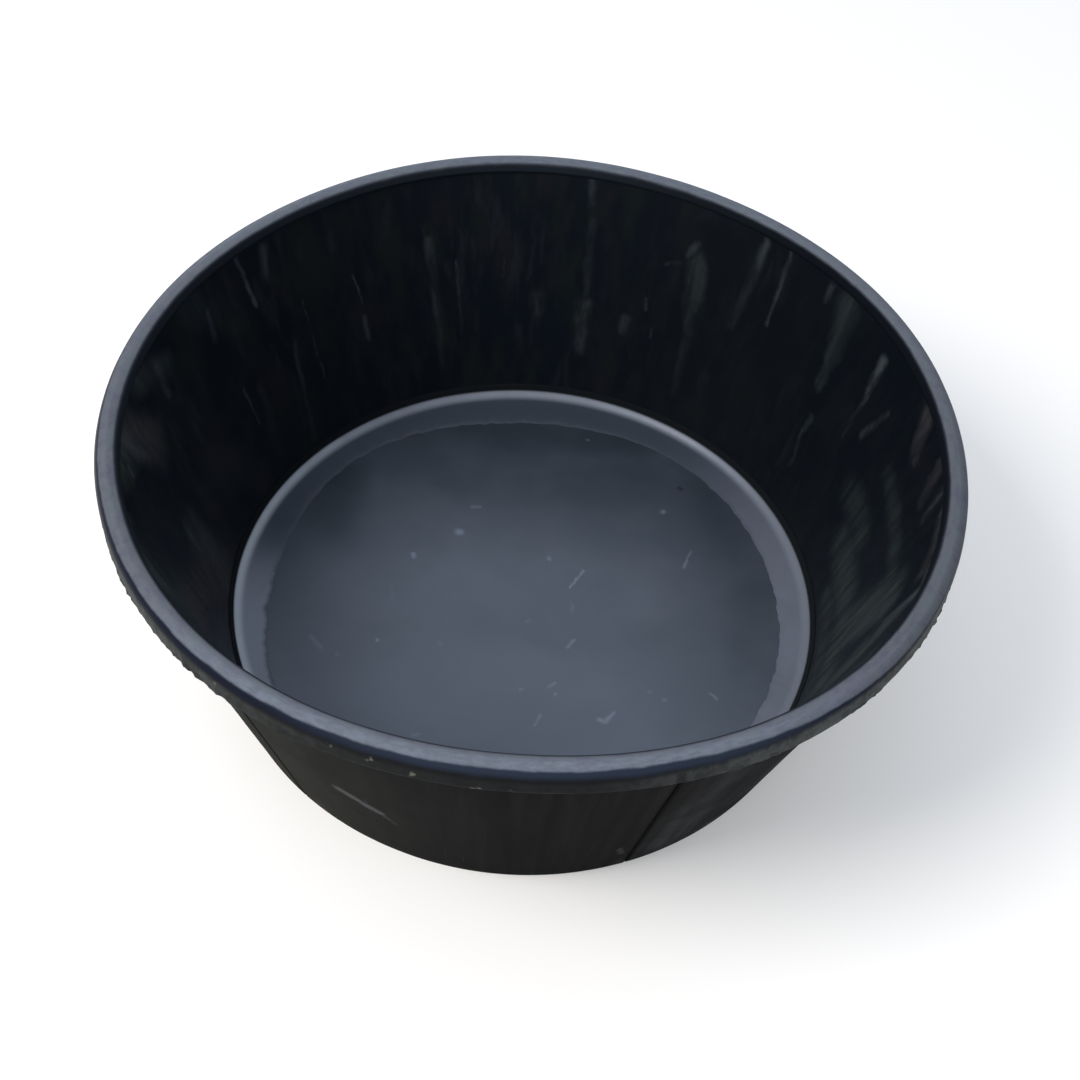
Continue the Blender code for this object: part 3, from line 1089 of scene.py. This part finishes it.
def makeWallCovers():
    material = coverMaterial()
    outline = divided(rounded([
        (onFace(coverInner, 0), 0),
        (onFace(coverInner, tub["wallTop"]), 0),
        (onFace(outerFace, tub["wallTop"]), 0),
        (onFace(outerFace, 0), wallCover["footRound"]),
    ]), wallCover["step"])
    for index in range(tub["panels"]):
        first = tub["seamAngle"] + index * panelAngle + tub["gap"] / 2 / tub["baseRadius"]
        panel = turnedMesh("wallCover%d" % (index + 1), outline, material, firstAngle=first)
        facesOut(panel.data)
        edgeBevel = panel.modifiers.new("edges", "BEVEL")
        edgeBevel.width = wallCover["edgeBevel"]
        edgeBevel.segments = wallCover["bevelSegments"]
        edgeBevel.limit_method = "ANGLE"
        edgeBevel.angle_limit = wallCover["bevelFrom"]
        depsgraph = bpy.context.evaluated_depsgraph_get()
        bevelled = bpy.data.meshes.new_from_object(panel.evaluated_get(depsgraph))
        panel.modifiers.remove(edgeBevel)
        panel.data = bevelled
        finished(panel, "wall_cover_%d" % (index + 1))


# Rim bead: the solid bead round the mouth, pale on top from wear and painted sheen, with a painted
# highlight along its crest, and dark on its outer face.

rimBead = {
    "shoulder": 0.010,           # radius of its outer top edge
    "crownSlope": math.radians(12),  # of its top, down towards the mouth
    "mouthEdge": 0.004,
    "footRound": 0.0015,
    "skirt": 0.002,              # lip over the liner's edge, inside the mouth
    "skirtRound": 0.002,
    "skirtFoot": 0.0001,         # its thickness at its lower edge
    "skirtGap": 0.0001,          # its lower edge closes on the liner
    "skirtDrop": 0.003,
    "step": 0.003,
    "steps": 1152,               # faces round the tub, fine enough for the flash
    "flash": 0.0030,
    # the mouth's inner edge: lighter than the liner with painted light, and darker at the right with
    # painted shade
    "inner": (0.0150, 0.0185, 0.0235, 1),
    "innerShadedRight": (0.0055, 0.0070, 0.0095, 1),   # painted shade at the right, as on the liner there
    "black": (0.0058, 0.0064, 0.0062, 1),
    "navy": (0.0220, 0.0280, 0.0430, 1),
    "darkNavy": (0.0075, 0.0095, 0.0180, 1),
    "greyed": (0.0700, 0.0740, 0.0710, 1),
    # the top: worn rubber with painted sheen, and a painted highlight on the crest
    "worn": (0.094, 0.101, 0.110, 1),
    "mauve": (0.082, 0.080, 0.102, 1),
    "crestHighlight": (0.150, 0.166, 0.195, 1),
    "footLine": (0.038, 0.044, 0.042, 1),
    "grit": (0.150, 0.145, 0.110, 1),
    "specular": 0.06,
    "tint": rubber["coolTint"],
    "roughness": (0.38, 0.62),
    "grain": (0.03, 0.12),
    "frontSide": (-92, 60),
    "backSide": (90, 110),
    "rightSide": (-5, 75),
    "leftSide": (-160, 60),
    "cornerSide": (-40, 45),
    # side where the inner edge has painted shade
    "shadedInsideSide": (15, 80),
    "navySide": (-82, 40),
    "gritSide": (-125, 55),
    "raggedNoise": (45.0, 4.0, 31.0, 0.65),
    "raggedLean": 9.0,           # how far it shifts the limits between two colours
    "raggedMouth": 0.0006,
    "outside": (-0.002, 0.002),  # where the outer face's colours begin, about the shoulder's middle
    "navyLean": (48, 78),        # leans are degrees round the shoulder, 0 on top and 90 at the side
    "greyedLean": (72, 98),
    "greyedEarlier": {"corner": 22.0, "left": 14.0},   # how much higher the greying starts there
    "greyedLeft": 0.7,           # share of the greying at the left, and everywhere at least
    "greyedLeast": 0.08,
    "smears": ((30.0, 70.0, 5.0, 36.0, 0.7), (0.38, 0.60)),
    "smearLeast": 0.35,
    "mottle": ((26.0, 130.0, 5.0, 32.0, 0.7), (0.44, 0.62)),
    "crestLine": 0.0082,         # how far in from the outermost face the crest's painted highlight runs
    "crestFade": (0.00052, 0.0026),  # distances from that line over which it fades
    "crestShare": (0.80, 0.20),  # of the crest, away from the left and right, and there
    "broadFade": (-0.0075, 0.0), # how it widens inwards at the front
    "backShare": 0.60,
    "flecks": ((34.0, 420.0, 5.0, 33.0, 0.7), (0.36, 0.64)),
    "fleckLeast": 0.45,
    "mouthLine": 0.0148,         # how far in the dark inner edge meets the worn top, at the front
    "mouthFade": (-0.0010, 0.0014),
    "mouthDrift": 0.0014,        # how much further in at the back
    "wornTo": 40,                # lean at which the worn top and its painted sheen end, and what these sides add to it
    "wornFurther": {"right": 32.0, "front": -5.0, "corner": -14.0},
    "wornFade": (-7.0, 5.0),
    "footFade": (0.00072, 0.00192),  # heights above the bead's foot over which its pale line fades
    "footEdge": (-0.0025, -0.0012),  # where that line begins, from the outermost face
    "footBreaks": ((40.0, 3.0, 34.0, 0.6), (0.42, 0.62)),
    "belowLean": (68, 88),
    "specks": ((110.0, 2.0, 35.0, 0.6), (0.64, 0.72)),
    "gritShare": (0.35, 0.85),
    "seamShift": math.radians(-2.2),     # the seam's mark on the bead is a little beside the seam
    "seamShare": 0.6,
}


def beadMaterial():
    look = rimBead
    material, desk, shader, where = startMaterial("beadRubber", look)
    radius, z, side = polar(desk, moulded(desk))
    out = desk.minus(radius, tub["rimRadius"] - look["shoulder"])
    up = desk.minus(z, tub["height"] - look["shoulder"])
    lean = desk.calc("DEGREES", desk.calc("ARCTAN2", out, up))
    ragged = desk.spread(desk.noise(where, *look["raggedNoise"]), -1.0, 1.0)
    lean = desk.plus(lean, desk.times(ragged, look["raggedLean"]))
    front = facing(desk, side, *look["frontSide"])
    back = facing(desk, side, *look["backSide"])
    right = facing(desk, side, *look["rightSide"])
    left = facing(desk, side, *look["leftSide"])
    corner = facing(desk, side, *look["cornerSide"])

    # the outer face, from the shoulder down
    outside = desk.ease(out, *look["outside"])
    # the inner edge, with painted light, and painted shade at the right
    inner = desk.blend(facing(desk, side, *look["shadedInsideSide"]), look["inner"], look["innerShadedRight"])
    colour = desk.blend(outside, inner, look["black"])
    navy = desk.opposite(desk.ease(lean, *look["navyLean"]))
    bluish = desk.blend(facing(desk, side, *look["navySide"]), look["darkNavy"], look["navy"])
    colour = desk.blend(desk.times(navy, outside), colour, bluish)
    smear = streaked(desk, side, z, *look["smears"])
    greyed = desk.largest([corner, right, desk.times(left, look["greyedLeft"]), look["greyedLeast"]])
    earlier = look["greyedEarlier"]
    higher = desk.total([lean, desk.times(corner, earlier["corner"]), desk.times(left, earlier["left"])])
    greyed = desk.thinned(greyed, smear, look["smearLeast"])
    greyed = desk.times(greyed, desk.ease(higher, *look["greyedLean"]))
    colour = desk.blend(greyed, colour, look["greyed"])

    # the worn top with painted sheen, and a painted highlight along its crest, broad at the front and
    # narrow elsewhere
    mottled = streaked(desk, side, desk.plus(radius, z), *look["mottle"])
    top = desk.blend(mottled, look["worn"], look["mauve"])
    crestLine = tub["rimRadius"] - look["crestLine"]
    off = desk.calc("ABSOLUTE", desk.minus(radius, crestLine))
    crestHighlight = desk.opposite(desk.ease(off, *look["crestFade"]))
    crestHighlight = desk.times(crestHighlight, desk.spread(desk.largest([right, left]), *look["crestShare"]))
    broad = desk.times(front, desk.ease(radius, *shifted(look["broadFade"], crestLine)))
    flecks = streaked(desk, side, radius, *look["flecks"])
    pale = desk.largest([crestHighlight, broad, desk.times(back, look["backShare"])])
    top = desk.blend(desk.thinned(pale, flecks, look["fleckLeast"]), top, look["crestHighlight"])
    further = look["wornFurther"]
    wornTo = desk.total([look["wornTo"], desk.times(right, further["right"]),
                         desk.times(front, further["front"]), desk.times(corner, further["corner"])])
    mouthLine = tub["rimRadius"] - look["mouthLine"]
    mouth = desk.total([radius, desk.times(ragged, look["raggedMouth"]),
                        desk.times(back, look["mouthDrift"])])
    worn = desk.times(desk.ease(mouth, *shifted(look["mouthFade"], mouthLine)),
                      desk.opposite(desk.ease(desk.minus(lean, wornTo), *look["wornFade"])))
    colour = desk.blend(worn, colour, top)

    # grit and a faint pale line low on the outer face, and the seam mark that runs up from the wall
    low = desk.opposite(desk.ease(desk.minus(z, tub["beadBottom"]), *look["footFade"]))
    foot = desk.times(low, desk.ease(radius, *shifted(look["footEdge"], tub["rimRadius"])))
    broken = desk.pattern(where, *look["footBreaks"])
    colour = desk.blend(desk.times(foot, broken), colour, look["footLine"])
    below = desk.times(desk.ease(lean, *look["belowLean"]), outside)
    specks = desk.pattern(where, *look["specks"])
    specks = desk.times(specks, desk.spread(facing(desk, side, *look["gritSide"]), *look["gritShare"]))
    colour = desk.blend(desk.times(specks, below), colour, look["grit"])
    seam = nearSeam(desk, side, radius, look["seamShift"])
    seam = desk.times(seam, desk.times(below, look["seamShare"]))
    colour = desk.blend(seam, colour, wallCover["seam"])
    roughness = desk.spread(desk.largest([worn, below]), *look["roughness"])
    finishMaterial(desk, shader, where, look, colour, roughness)
    return material


def makeRimBead():
    bead = rimBead
    height, rim = tub["height"], tub["rimRadius"]
    crown = Vector((math.cos(bead["crownSlope"]), math.sin(bead["crownSlope"])))
    shoulderCentre = Vector((rim - bead["shoulder"], height - bead["shoulder"]))
    crownPoint = shoulderCentre + Vector((-crown.y, crown.x)) * bead["shoulder"]
    alongWall = (onFace(linerInner, tub["wallTop"]) - onFace(linerInner, 0)).normalized()
    grooveTop = tub["wallTop"] + tub["gap"]
    skirtBottom = tub["wallTop"] - bead["skirtDrop"]
    skirtTop = onFace(linerInner, tub["wallTop"], tub["gap"] + bead["skirt"])
    outline = divided(rounded([
        (onFace(linerInner, skirtBottom, bead["skirtGap"] + bead["skirtFoot"]), 0),
        (skirtTop, bead["skirtRound"]),
        (crossing(crownPoint, crown, skirtTop, alongWall), bead["mouthEdge"]),
        (crossing(crownPoint, crown, Vector((rim, 0)), Vector((0, 1))), bead["shoulder"]),
        (Vector((rim, tub["beadBottom"])), bead["footRound"]),
        (onFace(outerFace, tub["beadBottom"], -tub["gap"]), 0),
        (onFace(outerFace, grooveTop, -tub["gap"]), 0),
        (onFace(linerInner, grooveTop, tub["gap"]), 0),
        (onFace(linerInner, skirtBottom, bead["skirtGap"]), 0),
    ]), bead["step"])
    flash = (bead["flash"], tub["beadBottom"])
    piece = turnedMesh("rimBead", outline, beadMaterial(), steps=bead["steps"], flash=flash)
    finished(piece, "rim_bead")


makeBaseSheet()
makeFloorSheet()
makeCornerRing()
print("bottom made")
makeWallLiner()
makeWallCovers()
makeRimBead()
print("wall and bead made")


# Floor of the studio, light and camera.

studio = {
    "floorRadius": 9.0,
    "floorSides": 96,
    "floorColour": (0.84, 0.80, 0.75, 1),
    "floorLift": 0.20,           # what the camera sees above the lit colour, so that it reads as white
    "liftColour": (1.0, 0.97, 0.92, 1),
    "horizon": (0.40, 0.43, 0.47, 1),
    "zenith": (0.66, 0.74, 0.87, 1),
    "skyHeight": (0.05, 0.85),   # heights on a unit sphere between which the sky changes
    "farSide": 1.4,              # how much brighter the sky is over the tub's back
    "farDepth": (-0.4, 0.8),
    "skyStrength": 0.95,
    "keyAzimuth": math.radians(207),
    "keyHeight": math.radians(50),
    "keyDistance": 3.0,
    "keyTarget": (0, 0, 0.1),
    "keySize": 1.2,
    "keyPower": 64.0,
}


def makeStudioFloor():
    bpy.ops.mesh.primitive_circle_add(
        vertices=studio["floorSides"], radius=studio["floorRadius"], fill_type="NGON"
    )
    floor = bpy.context.object
    floor.name = "studioFloor"
    material = bpy.data.materials.new("studioFloor")
    material.use_nodes = True
    tree = material.node_tree
    tree.nodes.clear()
    desk = Desk(tree)
    paint = desk.add("ShaderNodeBsdfDiffuse", {"Color": studio["floorColour"]}).outputs[0]
    ray = desk.add("ShaderNodeLightPath").outputs
    seen = desk.largest([ray["Is Camera Ray"], ray["Is Glossy Ray"], ray["Is Transmission Ray"]])
    lift = desk.times(seen, studio["floorLift"])
    glow = desk.add("ShaderNodeEmission", {"Color": studio["liftColour"], "Strength": lift}).outputs[0]
    both = desk.add("ShaderNodeAddShader", {0: paint, 1: glow}).outputs[0]
    desk.add("ShaderNodeOutputMaterial", {"Surface": both})
    floor.data.materials.append(material)


def makeSky():
    world = bpy.data.worlds.new("softSky")
    bpy.context.scene.world = world
    world.use_nodes = True
    world.node_tree.nodes.clear()
    desk = Desk(world.node_tree)
    direction = desk.add("ShaderNodeTexCoord").outputs["Generated"]
    x, y, z = desk.split(direction)
    colour = desk.blend(desk.ease(z, *studio["skyHeight"]), studio["horizon"], studio["zenith"])
    side = desk.spread(desk.ease(y, *studio["farDepth"]), 1.0, studio["farSide"])
    strength = desk.times(side, studio["skyStrength"])
    back = desk.add("ShaderNodeBackground", {"Color": colour, "Strength": strength}).outputs[0]
    desk.add("ShaderNodeOutputWorld", {"Surface": back})


def makeKey():
    lamp = bpy.data.lights.new("keyLight", "AREA")
    lamp.size = studio["keySize"]
    lamp.energy = studio["keyPower"]
    key = bpy.data.objects.new("keyLight", lamp)
    across = math.cos(studio["keyHeight"]) * studio["keyDistance"]
    key.location = (across * math.cos(studio["keyAzimuth"]), across * math.sin(studio["keyAzimuth"]),
                    math.sin(studio["keyHeight"]) * studio["keyDistance"])
    towardsTub = Vector(studio["keyTarget"]) - key.location
    key.rotation_euler = towardsTub.to_track_quat("-Z", "Y").to_euler()
    bpy.context.scene.collection.objects.link(key)


view = {
    "place": (0.0, -0.76274, 0.98335),
    "yaw": math.radians(0.753),
    "pitch": math.radians(49.283),   # below the horizon
    "roll": math.radians(-4.465),
    "focalLength": 1428.55,          # in pixels of a frame 1080 wide
    "frameWidth": 1080,
    "sensor": 36.0,
}


def makeCamera():
    yaw, pitch, roll = view["yaw"], view["pitch"], view["roll"]
    level = Vector((math.cos(yaw), -math.sin(yaw), 0))
    ahead = Vector((math.sin(yaw) * math.cos(pitch), math.cos(yaw) * math.cos(pitch), -math.sin(pitch)))
    right = math.cos(roll) * level + math.sin(roll) * ahead.cross(level)
    down = ahead.cross(right)
    lens = bpy.data.cameras.new("camera")
    lens.sensor_width = view["sensor"]
    lens.lens = view["focalLength"] / view["frameWidth"] * view["sensor"]
    camera = bpy.data.objects.new("camera", lens)
    turn = Matrix((right, -down, -ahead)).transposed().to_4x4()
    camera.matrix_world = Matrix.Translation(view["place"]) @ turn
    bpy.context.scene.collection.objects.link(camera)
    bpy.context.scene.camera = camera


makeStudioFloor()
makeSky()
makeKey()
makeCamera()
bpy.context.scene.view_settings.view_transform = "Standard"
print("studio made")
